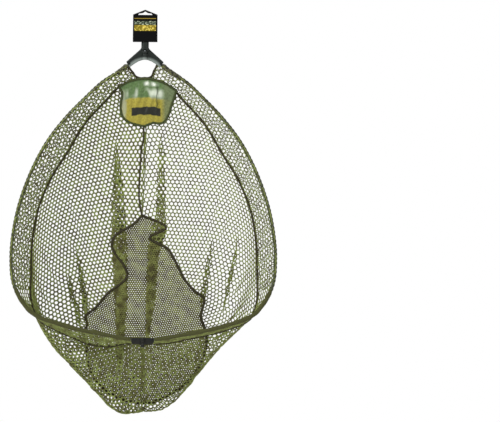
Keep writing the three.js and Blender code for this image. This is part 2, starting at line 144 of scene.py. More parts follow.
BACK_SEAM = [[-3, -212, 39], [-4, -249, 48], [-9, -270, 54], [-11, -300, 62], [-15, -394, 84], [-8, -440, 96]]
OPENING = [[-44, -62, -2], [-32, -76, 5], [-22, -88.5, 11], [-3, -91.5, 12.5], [15, -88.5, 11], [24, -72, 5],
           [33, -55, -2]]

# Outline of the badge.
BADGE_TOP = [[-66, -114], [-40, -100], [0, -92.5], [44, -101], [80, -122]]
BADGE_LEFT = [[-66, -114], [-58, -131], [-61, -150], [-62, -168], [-57, -189], [-44, -201], [-29.5, -207]]
BADGE_RIGHT = [[80, -122], [74, -142], [67, -162], [62, -179], [52, -198], [42, -205], [34, -206]]
BADGE_BOTTOM = [[-29.5, -207], [-3, -212], [22, -204], [34, -206]]


# ---- small tools ----
def linear(hex_colour):
    parts = [int(hex_colour[i:i + 2], 16) / 255 for i in (1, 3, 5)]
    return (*[c / 12.92 if c <= 0.04045 else ((c + 0.055) / 1.055) ** 2.4 for c in parts], 1)


def add_node(tree, kind, inputs=None, **settings):
    made = tree.nodes.new(kind)
    for name, value in settings.items():
        setattr(made, name, value)
    for key, value in (inputs or {}).items():
        if isinstance(value, bpy.types.NodeSocket):
            tree.links.new(value, made.inputs[key])
        else:
            made.inputs[key].default_value = value
    return made


def place(points):
    """[X, Z, Y] rows as an array of X, Y, Z in millimetres."""
    rows = np.array([[*p, 0][:3] for p in points], float)
    return rows[:, [0, 2, 1]]


def lengths(path):
    return np.concatenate([[0], np.cumsum(np.linalg.norm(np.diff(path, axis=0), axis=1))])


def at_shares(path, shares):
    """Points of a path at shares of its length."""
    reach = lengths(path)
    return np.stack([np.interp(np.asarray(shares) * reach[-1], reach, axis) for axis in path.T], axis=-1)


def smooth(points, count=600):
    """Evenly spaced points on a smooth curve through a few given ones."""
    p = np.asarray(points, float)
    t = np.concatenate([[0], np.cumsum(np.linalg.norm(np.diff(p, axis=0), axis=1) ** 0.5)])
    slope = np.gradient(p, t, axis=0)
    s = np.linspace(0, t[-1], 40 * len(p))
    i = np.clip(np.searchsorted(t, s, side="right") - 1, 0, len(p) - 2)
    span = (t[i + 1] - t[i])[:, None]
    x = (s - t[i])[:, None] / span
    dense = (1 + 2 * x) * (1 - x) ** 2 * p[i] + x * (1 - x) ** 2 * span * slope[i]
    dense += x * x * (3 - 2 * x) * p[i + 1] + x * x * (x - 1) * span * slope[i + 1]
    return at_shares(dense, np.linspace(0, 1, count))


def ease(x):
    x = np.clip(x, 0, 1)
    return x * x * (3 - 2 * x)


def new_object(name, vertices, faces, material=None, uv=None):
    """A mesh object from points in millimetres."""
    mesh = bpy.data.meshes.new(name)
    mesh.from_pydata((np.asarray(vertices) * MM).tolist(), [], faces)
    if uv is not None:
        layer = mesh.uv_layers.new(name="Weave")
        corner = np.empty(len(mesh.loops), int)
        mesh.loops.foreach_get("vertex_index", corner)
        layer.data.foreach_set("uv", np.asarray(uv, float)[corner].ravel())
    made = bpy.data.objects.new(name, mesh)
    bpy.context.scene.collection.objects.link(made)
    if material:
        mesh.materials.append(material)
    mesh.shade_smooth()
    return made


def finished(source, name):
    """The object with its modifiers applied, as a plain mesh. The object itself is removed."""
    bpy.context.view_layer.update()
    graph = bpy.context.evaluated_depsgraph_get()
    mesh = bpy.data.meshes.new_from_object(source.evaluated_get(graph), depsgraph=graph)
    bpy.data.objects.remove(source)
    mesh.name = name
    made = bpy.data.objects.new(name, mesh)
    bpy.context.scene.collection.objects.link(made)
    return made


def grid_faces(columns, rows):
    faces = []
    for i in range(columns - 1):
        for j in range(rows - 1):
            a, b = i * rows + j, (i + 1) * rows + j
            faces.append((a, a + 1, b + 1, b))
    return faces


def tube(name, path, radius, material, sides=12):
    """A closed round tube along a path. The radius is one number, or a table of rings and sides."""
    path = np.asarray(path, float)
    rings = len(path)
    along = np.gradient(path, axis=0)
    along /= np.linalg.norm(along, axis=1)[:, None]
    side = np.cross(along[0], [0.13, 1, 0.07])
    sides_of = []
    for direction in along:
        side = side - direction * side.dot(direction)
        side = side / np.linalg.norm(side)
        sides_of.append(side)
    across = np.array(sides_of)
    up = np.cross(along, across)
    angle = np.linspace(0, 2 * math.pi, sides, endpoint=False)[None, :]
    radius = np.broadcast_to(np.asarray(radius, float), (rings, sides))
    points = path[:, None] + radius[..., None] * (
        np.cos(angle)[..., None] * across[:, None] + np.sin(angle)[..., None] * up[:, None])
    vertices = [*points.reshape(-1, 3), path[0], path[-1]]
    faces = []
    for i in range(rings - 1):
        for j in range(sides):
            k = (j + 1) % sides
            faces.append((i * sides + j, i * sides + k, (i + 1) * sides + k, (i + 1) * sides + j))
    last = (rings - 1) * sides
    for j in range(sides):
        k = (j + 1) % sides
        faces.append((rings * sides, k, j))
        faces.append((rings * sides + 1, last + j, last + k))
    reach = lengths(path)
    uv = [(j / sides * 0.5, reach[i] / 100) for i in range(rings) for j in range(sides)] + [(0, 0), (0, 0)]
    made = new_object(name, vertices, faces, material, uv)
    if volume(made) < 0:
        made.data.flip_normals()
    return made


def volume(piece):
    mesh = piece.data
    mesh.calc_loop_triangles()
    corner = np.empty(3 * len(mesh.loop_triangles), int)
    mesh.loop_triangles.foreach_get("vertices", corner)
    place_of = np.empty(3 * len(mesh.vertices))
    mesh.vertices.foreach_get("co", place_of)
    a, b, c = place_of.reshape(-1, 3)[corner].reshape(-1, 3, 3).transpose(1, 0, 2)
    return np.einsum("ij,ij->i", a, np.cross(b, c)).sum()


def joined(name, parts):
    bpy.ops.object.select_all(action="DESELECT")
    for part in parts:
        part.select_set(True)
    bpy.context.view_layer.objects.active = parts[0]
    bpy.ops.object.join()
    parts[0].name = parts[0].data.name = name
    return parts[0]


def bend_with_fold(piece):
    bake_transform(piece)


# ---- materials ----
def new_material(name):
    material = bpy.data.materials.new(name)
    material.use_nodes = True
    tree = material.node_tree
    return material, tree, tree.nodes["Principled BSDF"]


def mixed(tree, share, first, second):
    sockets = {0: share, 6: first, 7: second}
    return add_node(tree, "ShaderNodeMix", sockets, data_type="RGBA").outputs[2]


def math_of(tree, operation, *values):
    return add_node(tree, "ShaderNodeMath", dict(enumerate(values)), operation=operation).outputs[0]


def dress(tree, shader, colour, roughness, bump=None, depth=0.0):
    tree.links.new(colour, shader.inputs["Base Color"])
    shader.inputs["Roughness"].default_value = roughness
    if bump is not None:
        bumped = add_node(tree, "ShaderNodeBump", {"Height": bump, "Distance": depth * MM, "Strength": 1.0})
        tree.links.new(bumped.outputs[0], shader.inputs["Normal"])


def twine(name, light, dark, patches_per_metre=60.0):
    """Knotless polyester twine: matt, with paler and darker stretches where it was dyed and handled."""
    material, tree, shader = new_material(name)
    where = add_node(tree, "ShaderNodeTexCoord").outputs["Object"]
    patches = add_node(tree, "ShaderNodeTexNoise", {
        "Vector": where, "Scale": patches_per_metre, "Detail": 3.0}).outputs[0]
    patches = add_node(tree, "ShaderNodeMapRange",
                       {"Value": patches, "From Min": 0.36, "From Max": 0.64}).outputs[0]
    dress(tree, shader, mixed(tree, patches, linear(dark), linear(light)), 0.85)
    return material


def woven(name, light, dark, threads, depth):
    """Woven polyester tape or cloth: fine over-and-under threads, drawn a little coarse so that they show."""
    material, tree, shader = new_material(name)
    where = add_node(tree, "ShaderNodeTexCoord").outputs["UV"]
    across = add_node(tree, "ShaderNodeTexWave", {"Vector": where, "Scale": threads, "Distortion": 0.4},
                      bands_direction="X").outputs[1]
    along = add_node(tree, "ShaderNodeTexWave", {"Vector": where, "Scale": threads, "Distortion": 0.4},
                     bands_direction="Y").outputs[1]
    weave = math_of(tree, "MULTIPLY", across, along)
    worn = add_node(tree, "ShaderNodeTexNoise", {"Vector": where, "Scale": 9.0, "Detail": 4.0}).outputs[0]
    shade = math_of(tree, "ADD", math_of(tree, "MULTIPLY", weave, 0.5), math_of(tree, "MULTIPLY", worn, 0.5))
    dress(tree, shader, mixed(tree, shade, linear(dark), linear(light)), 0.85, weave, depth)
    return material


def moulded(name, light, dark, roughness):
    """Moulded nylon: a fine spark texture from the tool and a soft shine."""
    material, tree, shader = new_material(name)
    where = add_node(tree, "ShaderNodeTexCoord").outputs["Object"]
    spark = add_node(tree, "ShaderNodeTexNoise",
                     {"Vector": where, "Scale": 1000 / SPARK_GRAIN, "Detail": 2.0}).outputs[0]
    cloud = add_node(tree, "ShaderNodeTexNoise", {"Vector": where, "Scale": 45.0, "Detail": 3.0}).outputs[0]
    dress(tree, shader, mixed(tree, cloud, linear(dark), linear(light)), roughness, spark, 0.06)
    shader.inputs["Specular IOR Level"].default_value = 0.25
    return material, tree, shader, where


def block_nylon():
    """Glass-filled nylon, grey-green, with a painted highlight: a paler rim along the inner arch."""
    material, tree, shader, where = moulded("block_nylon", "#1f2723", "#0e1310", 0.45)
    flat = add_node(tree, "ShaderNodeVectorMath", {0: where, 1: (1, 0, 1)}, operation="MULTIPLY").outputs[0]
    arch_centre = (0, 0, -0.092)
    arch_radius = 0.0475
    away = add_node(tree, "ShaderNodeVectorMath", {0: flat, 1: arch_centre},
                    operation="DISTANCE").outputs["Value"]
    # painted highlight: a paler rim round the inner arch
    rim = add_node(tree, "ShaderNodeMapRange", {"Value": away, "From Min": arch_radius + 0.0075,
                                                 "From Max": arch_radius + 0.001}).outputs[0]
    body = shader.inputs["Base Color"].links[0].from_socket
    tree.links.new(mixed(tree, rim, body, linear("#7c8580")), shader.inputs["Base Color"])
    return material


def lacquer():
    """Olive gloss lacquer on a glass-fibre rod, faintly uneven."""
    material, tree, shader = new_material("rod_lacquer")
    where = add_node(tree, "ShaderNodeTexCoord").outputs["Object"]
    cloud = add_node(tree, "ShaderNodeTexNoise", {"Vector": where, "Scale": 90.0, "Detail": 3.0}).outputs[0]
    dress(tree, shader, mixed(tree, cloud, linear("#262c10"), linear("#3e471c")), 0.35)
    shader.inputs["Coat Weight"].default_value = 0.4
    return material


def metal(name, light, dark, roughness):
    """Turned metal: fine tool marks round the piece and a dulled film."""
    material, tree, shader = new_material(name)
    where = add_node(tree, "ShaderNodeTexCoord").outputs["Object"]
    stretch = add_node(tree, "ShaderNodeVectorMath", {0: where, 1: (1, 1, 14)}, operation="MULTIPLY").outputs[0]
    marks = add_node(tree, "ShaderNodeTexNoise", {"Vector": stretch, "Scale": 300.0, "Detail": 4.0}).outputs[0]
    dress(tree, shader, mixed(tree, marks, linear(dark), linear(light)), roughness, marks, 0.03)
    shader.inputs["Metallic"].default_value = 1
    return material


def band_mask(tree, value, low, high, soft):
    """1 between low and high, fading over soft on each side."""
    rise = add_node(tree, "ShaderNodeMapRange",
                    {"Value": value, "From Min": low - soft, "From Max": low + soft})
    drop = add_node(tree, "ShaderNodeMapRange",
                    {"Value": value, "From Min": high + soft, "From Max": high - soft})
    return math_of(tree, "MULTIPLY", rise.outputs[0], drop.outputs[0])


def card_print():
    """Coated black card with two printed colour blocks and a plain gold line above them."""
    material, tree, shader = new_material("printed_card")
    where = add_node(tree, "ShaderNodeTexCoord").outputs["Object"]
    axes = add_node(tree, "ShaderNodeSeparateXYZ", {0: where})
    x, z = axes.outputs["X"], axes.outputs["Z"]
    mottle = add_node(tree, "ShaderNodeTexNoise", {"Vector": where, "Scale": 260.0, "Detail": 3.0}).outputs[0]
    speck = add_node(tree, "ShaderNodeMapRange",
                     {"Value": mottle, "From Min": 0.5, "From Max": 0.62}).outputs[0]
    olive = mixed(tree, speck, linear("#2c3628"), linear("#aab49a"))
    gold = mixed(tree, speck, linear("#7a6a1c"), linear("#d8c35a"))
    inside = band_mask(tree, x, -0.0275, 0.0275, 0.0003)
    upper = math_of(tree, "MULTIPLY", inside, band_mask(tree, z, 0.0432, 0.053, 0.0003))
    lower = math_of(tree, "MULTIPLY", inside, band_mask(tree, z, 0.028, 0.043, 0.0003))
    line = math_of(tree, "MULTIPLY", inside, band_mask(tree, z, 0.0588, 0.0606, 0.0003))
    colour = mixed(tree, upper, linear("#060607"), olive)
    colour = mixed(tree, lower, colour, gold)
    colour = mixed(tree, line, colour, linear("#8f7a2c"))
    dress(tree, shader, colour, 0.38)
    shader.inputs["Specular IOR Level"].default_value = 0.08
    return material


def badge_print():
    """Printed satin: soft shine, a green head, a mustard foot, a dark ribbon, painted highlights as whitish
    streaks, glints and a paler band at the left, and a painted shadow along a crease.

    The piece's UV map holds X and Z in decimetres."""
    material, tree, shader = new_material("printed_satin")
    where = add_node(tree, "ShaderNodeTexCoord").outputs["UV"]
    axes = add_node(tree, "ShaderNodeSeparateXYZ", {0: where})
    x, z = axes.outputs["X"], axes.outputs["Y"]
    waver = add_node(tree, "ShaderNodeTexNoise", {"Vector": where, "Scale": 5.0, "Detail": 3.0}).outputs[0]
    shift = math_of(tree, "MULTIPLY", math_of(tree, "SUBTRACT", waver, 0.5), 0.12)
    bow = math_of(tree, "MULTIPLY", math_of(tree, "MULTIPLY", x, x), 0.22)
    level = math_of(tree, "ADD", math_of(tree, "ADD", z, bow), shift)
    fine = add_node(tree, "ShaderNodeTexNoise", {"Vector": where, "Scale": 22.0, "Detail": 4.0}).outputs[0]
    green = mixed(tree, fine, linear("#2f491a"), linear("#6c8854"))
    mustard = mixed(tree, fine, linear("#6c610c"), linear("#b9ae44"))
    foot = add_node(tree, "ShaderNodeMapRange",
                    {"Value": level, "From Min": -1.38, "From Max": -1.42}).outputs[0]
    colour = mixed(tree, foot, green, mustard)
    fade = add_node(tree, "ShaderNodeMapRange", {"Value": x, "From Min": 0.40, "From Max": 0.52}).outputs[0]
    colour = mixed(tree, math_of(tree, "MULTIPLY", fade, 0.85), colour, mixed(tree, fine, linear("#3c4a24"),
                                                                              linear("#7f8c66")))
    # painted highlight: a paler band down the badge's left side
    painted_highlight_band = math_of(tree, "MULTIPLY", band_mask(tree, math_of(tree, "ADD", x, shift), -0.60, -0.49, 0.03),
                   band_mask(tree, z, -1.95, -1.24, 0.06))
    colour = mixed(tree, math_of(tree, "MULTIPLY", painted_highlight_band, 0.75), colour, linear("#9da48a"))
    ribbon = math_of(tree, "MULTIPLY", band_mask(tree, level, -1.84, -1.63, 0.012),
                     band_mask(tree, x, -0.34, 0.40, 0.012))
    colour = mixed(tree, ribbon, colour, linear("#15170c"))
    upright = add_node(tree, "ShaderNodeVectorMath", {0: where, 1: (1, 0.35, 1)},
                       operation="MULTIPLY").outputs[0]
    streaks = add_node(tree, "ShaderNodeTexNoise", {"Vector": upright, "Scale": 5.5, "Detail": 1.0}).outputs[0]
    crest = add_node(tree, "ShaderNodeMapRange",
                     {"Value": streaks, "From Min": 0.42, "From Max": 0.66}).outputs[0]
    # painted highlights: whitish glossy streaks in two rows across the head
    sheen_rows = math_of(tree, "MULTIPLY", band_mask(tree, level, -1.38, -1.18, 0.06), 0.75)
    inner = band_mask(tree, x, -0.45, 0.46, 0.05)
    marks = math_of(tree, "MULTIPLY", math_of(tree, "MULTIPLY", crest, sheen_rows), inner)
    colour = mixed(tree, marks, colour, linear("#dfe6d4"))
    glint = math_of(tree, "MULTIPLY", band_mask(tree, level, -1.10, -1.01, 0.025),
                    band_mask(tree, x, -0.12, 0.32, 0.06))
    glint = math_of(tree, "MULTIPLY", glint, add_node(tree, "ShaderNodeMapRange", {
        "Value": streaks, "From Min": 0.38, "From Max": 0.6}).outputs[0])
    colour = mixed(tree, glint, colour, linear("#e4e9dc"))
    # painted shade: a dark line along the cloth's crease
    crease = band_mask(tree, math_of(tree, "ADD", x, shift), 0.285, 0.315, 0.012)
    crease = math_of(tree, "MULTIPLY", crease, band_mask(tree, z, -1.72, -1.12, 0.05))
    colour = mixed(tree, math_of(tree, "MULTIPLY", crease, 0.7), colour, linear("#23280f"))
    threads = add_node(tree, "ShaderNodeTexWave", {"Vector": where, "Scale": 60.0}, bands_direction="DIAGONAL")
    dress(tree, shader, colour, 0.42, threads.outputs[1], 0.05)
    shader.inputs["Sheen Weight"].default_value = 0.2
    shader.inputs["Specular IOR Level"].default_value = 0.3
    return material


def floor_paint():
    material, tree, shader = new_material("studio_floor")
    where = add_node(tree, "ShaderNodeTexCoord").outputs["Object"]
    cloud = add_node(tree, "ShaderNodeTexNoise", {"Vector": where, "Scale": 1.5}).outputs[0]
    dress(tree, shader, mixed(tree, cloud, linear("#e4e4e2"), linear("#ececea")), 0.9)
    return material


NET = twine("knotless_twine", "#828e4a", "#57562b")
FINE_NET = twine("fine_knotless_twine", "#7a7f42", "#4b4721")
LACE = twine("lacing_twine", "#434922", "#20240d")
WHIPPING = twine("whipping_twine", "#5c5b40", "#0c0b06", 240.0)
TAPE = woven("binding_tape", "#3d3615", "#181404", 30.0, 0.25)
BADGE_TAPE = woven("olive_binding_tape", "#4c5a24", "#222a0c", 30.0, 0.25)
SLEEVE = woven("oxford_nylon", "#54561f", "#2c2d0d", 46.0, 0.2)
BLOCK = block_nylon()
HINGE = moulded("hinge_nylon", "#20211c", "#0e0f0b", 0.4)[0]
ROD = lacquer()
BRASS = metal("turned_brass", "#c9a75a", "#8a6a2c", 0.28)
STEEL = metal("zinc_plated_steel", "#a3a7aa", "#6f7376", 0.3)
BLACK_STEEL = metal("blackened_steel", "#3c3e3f", "#232425", 0.4)
CARD = card_print()
SATIN = badge_print()
DARK_THREAD = twine("dark_sewing_thread", "#5c5528", "#3a3516")


# ---- the bag's surfaces ----
def pleated(points, share=1.0):
    """Folds netting over itself along the pleats. Share is 0 where a point stays as it is."""
    points = points.copy()
    share = np.broadcast_to(share, points.shape[:-1])
    for table in PLEATS:
        depth, middle, width, closed = np.array(table, float).T
        below = -points[..., 2]
        half = np.interp(below, depth, width)
        amount = np.interp(below, depth, closed, left=0, right=0) * share
        t = (points[..., 0] - np.interp(below, depth, middle)) / half
        swell = t * np.exp((1 - t * t) / 2)
        points[..., 0] -= amount * half * swell
        points[..., 1] -= np.minimum(amount, 1) * PLEAT_PLY * swell
    return points


def ring(table, mirror=1):
    points = place(table)
    points[:, 0] *= mirror
    return smooth(points)


SIDES = {"left": -1, "right": 1}
HOOP_LINE = {name: ring(HOOP, side) for name, side in SIDES.items()}
RIM_LINE = {name: ring(RIM_SEAM[name], side) for name, side in SIDES.items()}
MIDDLE_LINE = {name: ring(WALL_MIDDLE[name], side) for name, side in SIDES.items()}
BASE_LINE = {name: ring(BASE_SEAM[name]) for name in SIDES}
HOOP_LENGTH = lengths(HOOP_LINE["right"])[-1]


def hoop_part(side, start, end, step=6.0):
    count = max(8, int((end - start) / step))
    return at_shares(HOOP_LINE[side], np.linspace(start, end, count) / HOOP_LENGTH)


def base_edge(side):
    """The base seam's line, with its pleats."""
    return pleated(at_shares(BASE_LINE[side], np.linspace(0, 1, 600)))


def wall(side, columns=420, rows=44):
    """One half of the bag's wall: it hangs from the rim seam and gathers towards the base seam."""
    u = np.linspace(0, 1, columns)
    v = np.linspace(0, 1, rows)[None, :]
    top = at_shares(RIM_LINE[side], u)[:, None]
    middle = at_shares(MIDDLE_LINE[side], u)[:, None]
    foot = at_shares(BASE_LINE[side], np.interp(u, HANG_FROM, HANG_TO))[:, None]
    w = v[..., None]
    points = top * (1 - w) * (1 - 2 * w) + middle * 4 * w * (1 - w) + foot * w * (2 * w - 1)
    sway = 2.6 * np.sin(2 * math.pi * 17 * u + 0.6) + 1.8 * np.sin(2 * math.pi * 29 * u + 2.1)
    lift = sway[:, None] * np.sin(math.pi * v) * ease(v / 0.4)
    points[..., 1] += lift
    points[..., 0] += 0.5 * lift * SIDES[side]
    fold = ease((v - 0.06) / 0.3)
    front = 1 - ease((u - 0.70) / 0.08)
    return pleated(points, fold * front[:, None])


def base(columns=190, rows=330):
    """The fine base panel, from the left edge to the right."""
    shares = np.linspace(0.0, 1.0, rows)
    left = at_shares(BASE_LINE["left"], shares)[None]
    right = at_shares(BASE_LINE["right"], shares)[None]
    q = np.linspace(0, 1, columns)[:, None, None]
    points = left + (right - left) * q
    belly = np.sin(math.pi * q[..., 0]) * np.sin(math.pi * shares[None, :])
    points[..., 1] += 9 * belly
    points[..., 1] += 2.2 * np.sin(9 * math.pi * q[..., 0] + 0.5) * belly
    return pleated(points)


def rim_band(side, layer, columns=260, rows=10):
    """The band between hoop and rim seam. The netting goes round the tube, so it has a front and a back layer.

    At the padded bar only one layer comes out from under the sleeve."""
    start, end = 27 / HOOP_LENGTH, 1 - 8 / HOOP_LENGTH
    u = np.linspace(0, 1 if layer < 0 else (SLEEVE_START - start) / (end - start), columns)
    hoop = at_shares(HOOP_LINE[side], start + (end - start) * u)
    opening = smooth(place(OPENING))[::SIDES[side] * -1][:250]
    seam = at_shares(np.concatenate([opening, RIM_LINE[side][15:]]), u)
    sleeved = ease((start + (end - start) * u - SLEEVE_START + 0.02) / 0.04)
    v = np.linspace(0, 1, rows)[None, :, None]
    reach = hoop - seam
    reach[:, 1] = 0
    outward = reach / np.linalg.norm(reach, axis=1)[:, None]
    outer = hoop + outward * 2.0
    outer[:, 1] += layer * 4.6 * (1 - sleeved) + 3.5 * sleeved
    points = outer[:, None] * (1 - v) + seam[:, None] * v
    bulge = np.sin(math.pi * v[..., 0])
    points[..., 1] += layer * 3.5 * bulge * (1 - sleeved)[:,
        None] + 1.5 * bulge * np.sin(2 * math.pi * 31 * u)[:, None]
    return points


# ---- netting ----
def laid_flat(points):
    """Where each point of a draped surface lies in the flat panel it is cut from."""
    columns, rows = points.shape[:2]
    drape = new_object("drape", points.reshape(-1, 3), grid_faces(columns, rows))
    bpy.ops.object.select_all(action="DESELECT")
    drape.select_set(True)
    bpy.context.view_layer.objects.active = drape
    bpy.ops.object.mode_set(mode="EDIT")
    bpy.ops.mesh.select_all(action="SELECT")
    bpy.ops.uv.unwrap(method="MINIMUM_STRETCH", margin=0)
    bpy.ops.object.mode_set(mode="OBJECT")
    mesh = drape.data
    corner = np.empty(len(mesh.loops), int)
    mesh.loops.foreach_get("vertex_index", corner)
    uv = np.empty(2 * len(mesh.loops))
    mesh.uv_layers.active.data.foreach_get("uv", uv)
    flat = np.zeros((columns * rows, 2))
    flat[corner] = uv.reshape(-1, 2)
    bpy.data.objects.remove(drape)
    return flat.reshape(columns, rows, 2)


def areas(points):
    """Area of each cell of a grid of points, flat or in space."""
    if points.shape[-1] == 2:
        points = np.concatenate([points, np.zeros((*points.shape[:2], 1))], axis=-1)
    a, b = points[1:, 1:] - points[:-1, :-1], points[1:, :-1] - points[:-1, 1:]
    return np.linalg.norm(np.cross(a, b), axis=-1) / 2


def upright(flat, points, steady):
    """Scales a flat panel to its real size and turns it so that what hangs straight down lies along X."""
    flat = flat * math.sqrt(areas(points).sum() / areas(flat).sum())
    flat = flat - flat.mean(axis=(0, 1))
    edge_flat = np.diff(flat, axis=1)[steady].reshape(-1, 2)
    edge = np.diff(points, axis=1)[steady].reshape(-1, 3)
    along = np.diff(flat, axis=0)[steady].reshape(-1, 2)
    rise = np.diff(points, axis=0)[steady].reshape(-1, 3)
    moves = np.concatenate([edge_flat, along])
    drops = np.concatenate([edge[:, 2], rise[:, 2]])
    sideways = np.concatenate([edge[:, 0], rise[:, 0]])
    up = (moves * drops[:, None]).sum(axis=0)
    right = (moves * sideways[:, None]).sum(axis=0)
    if right[0] * up[1] - right[1] * up[0] < 0:
        flat, up = flat * [-1, 1], up * [-1, 1]
    up = up / np.linalg.norm(up)
    return np.stack([flat @ up, flat @ [-up[1], up[0]]], axis=-1)


def netting_tree():
    """Geometry nodes that fill a flat panel with hexagon cells and hang them where the panel hangs."""
    tree = bpy.data.node_groups.new("netting", "GeometryNodeTree")
    sockets = {}
    for name, kind in (("Panel", "Geometry"), ("Mesh Size", "Float"), ("Material", "Material")):
        sockets[name] = tree.interface.new_socket(name=name, in_out="INPUT", socket_type=f"NodeSocket{kind}")
    tree.interface.new_socket(name="Netting", in_out="OUTPUT", socket_type="NodeSocketGeometry")
    given = add_node(tree, "NodeGroupInput").outputs
    panel, pitch = given["Panel"], given["Mesh Size"]
    box = add_node(tree, "GeometryNodeBoundBox", {"Geometry": panel})
    size = add_node(tree, "ShaderNodeVectorMath", {0: box.outputs["Max"], 1: box.outputs["Min"]},
                    operation="SUBTRACT")
    total = add_node(tree, "ShaderNodeVectorMath", {0: box.outputs["Max"], 1: box.outputs["Min"]},
                     operation="ADD")
    centre = add_node(tree, "ShaderNodeVectorMath", {0: total.outputs[0], "Scale": 0.5},
                      operation="SCALE").outputs[0]
    extent = add_node(tree, "ShaderNodeSeparateXYZ", {0: size.outputs[0]})
    column = math_of(tree, "MULTIPLY", pitch, math.sqrt(3) / 2)
    across = math_of(tree, "ADD", math_of(tree, "CEIL", math_of(tree, "DIVIDE", extent.outputs[0], column)), 4)
    up = math_of(tree, "ADD", math_of(tree, "CEIL", math_of(tree, "DIVIDE", extent.outputs[1], pitch)), 4)
    lattice = add_node(tree, "GeometryNodeMeshGrid", {
        "Size X": math_of(tree, "MULTIPLY", across, column), "Size Y": math_of(tree, "MULTIPLY", up, pitch),
        "Vertices X": math_of(tree, "ADD", across, 1), "Vertices Y": math_of(tree, "ADD", up, 1)})
    number = add_node(tree, "GeometryNodeInputIndex").outputs[0]
    column_of = math_of(tree, "FLOOR", math_of(tree, "DIVIDE", number, math_of(tree, "ADD", up, 1)))
    shift = math_of(tree, "MULTIPLY", math_of(tree, "MODULO", column_of, 2),
                    math_of(tree, "MULTIPLY", pitch, 0.5))
    offset = add_node(tree, "ShaderNodeCombineXYZ", {"Y": shift}).outputs[0]
    moved = add_node(tree, "ShaderNodeVectorMath", {0: offset, 1: centre}, operation="ADD").outputs[0]
    staggered = add_node(tree, "GeometryNodeSetPosition",
                         {"Geometry": lattice.outputs["Mesh"], "Offset": moved})
    triangles = add_node(tree, "GeometryNodeTriangulate", {"Mesh": staggered.outputs[0]},
                         quad_method="SHORTEST_DIAGONAL")
    cells = add_node(tree, "GeometryNodeDualMesh", {"Mesh": triangles.outputs[0]})
    off_panel = add_node(tree, "GeometryNodeProximity", {0: panel}, target_element="FACES").outputs["Distance"]
    outside = math_of(tree, "GREATER_THAN", off_panel, math_of(tree, "MULTIPLY", pitch, 0.62))
    cut = add_node(tree, "GeometryNodeDeleteGeometry", {"Geometry": cells.outputs[0], "Selection": outside},
                   domain="POINT")
    hung = add_node(tree, "GeometryNodeInputNamedAttribute", {"Name": "place"}, data_type="FLOAT_VECTOR")
    found = add_node(tree, "GeometryNodeSampleNearestSurface",
                     {"Mesh": panel, "Value": hung.outputs["Attribute"]},
                     data_type="FLOAT_VECTOR")
    draped = add_node(tree, "GeometryNodeSetPosition",
                      {"Geometry": cut.outputs[0], "Position": found.outputs["Value"]})
    closed = add_node(tree, "GeometryNodeMergeByDistance",
                      {"Geometry": draped.outputs[0], "Distance": 0.3 * MM})
    real = add_node(tree, "GeometryNodeRealizeInstances", {"Geometry": closed.outputs[0]})
    painted = add_node(tree, "GeometryNodeSetMaterial",
                       {"Geometry": real.outputs[0], "Material": given["Material"]})
    add_node(tree, "NodeGroupOutput", {0: painted.outputs[0]})
    return tree, sockets


NETTING_TREE, NETTING_INPUTS = netting_tree()


def netting(name, points, cell, thickness, material, steady):
    """Netting of hexagon cells on a draped surface, as one connected web of round twine."""
    flat = upright(laid_flat(points), points, steady)
    columns, rows = points.shape[:2]
    flat_points = np.concatenate([flat.reshape(-1, 2), np.zeros((columns * rows, 1))], axis=1)
    panel = new_object(name, flat_points, grid_faces(columns, rows))
    hung = panel.data.attributes.new("place", "FLOAT_VECTOR", "POINT")
    hung.data.foreach_set("vector", (points.reshape(-1, 3) * MM).ravel())
    cells = panel.modifiers.new("cells", "NODES")
    cells.node_group = NETTING_TREE
    cells[NETTING_INPUTS["Mesh Size"].identifier] = cell * MM
    cells[NETTING_INPUTS["Material"].identifier] = material
    web = panel.modifiers.new("twine", "WIREFRAME")
    web.thickness = thickness * MM
    web.use_even_offset = False
    web.use_boundary = True
    web.use_replace = True
    made = finished(panel, name)
    made.data.shade_smooth()
    return made


def make_netting():
    top_columns = slice(30, 180)
    for side in SIDES:
        piece = netting(f"wall_netting_{side}", wall(side), WALL_MESH, WALL_TWINE[side], NET, top_columns)
        bend_with_fold(piece)
        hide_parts(f"bag_wall_{side}")
        layers = [
            netting(f"band_{layer}", rim_band(side, layer), WALL_MESH, WALL_TWINE[side] * 0.75, NET,
                    slice(60, 160))
            for layer in (-1, 1)
        ]
        band = joined(f"band_netting_{side}", layers)
        bend_with_fold(band)
        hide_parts(f"rim_band_{side}")
    panel = netting("base_netting", base(), BASE_MESH, BASE_TWINE, FINE_NET, slice(None))
    bend_with_fold(panel)
    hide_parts("bag_base_left", "bag_base_right")


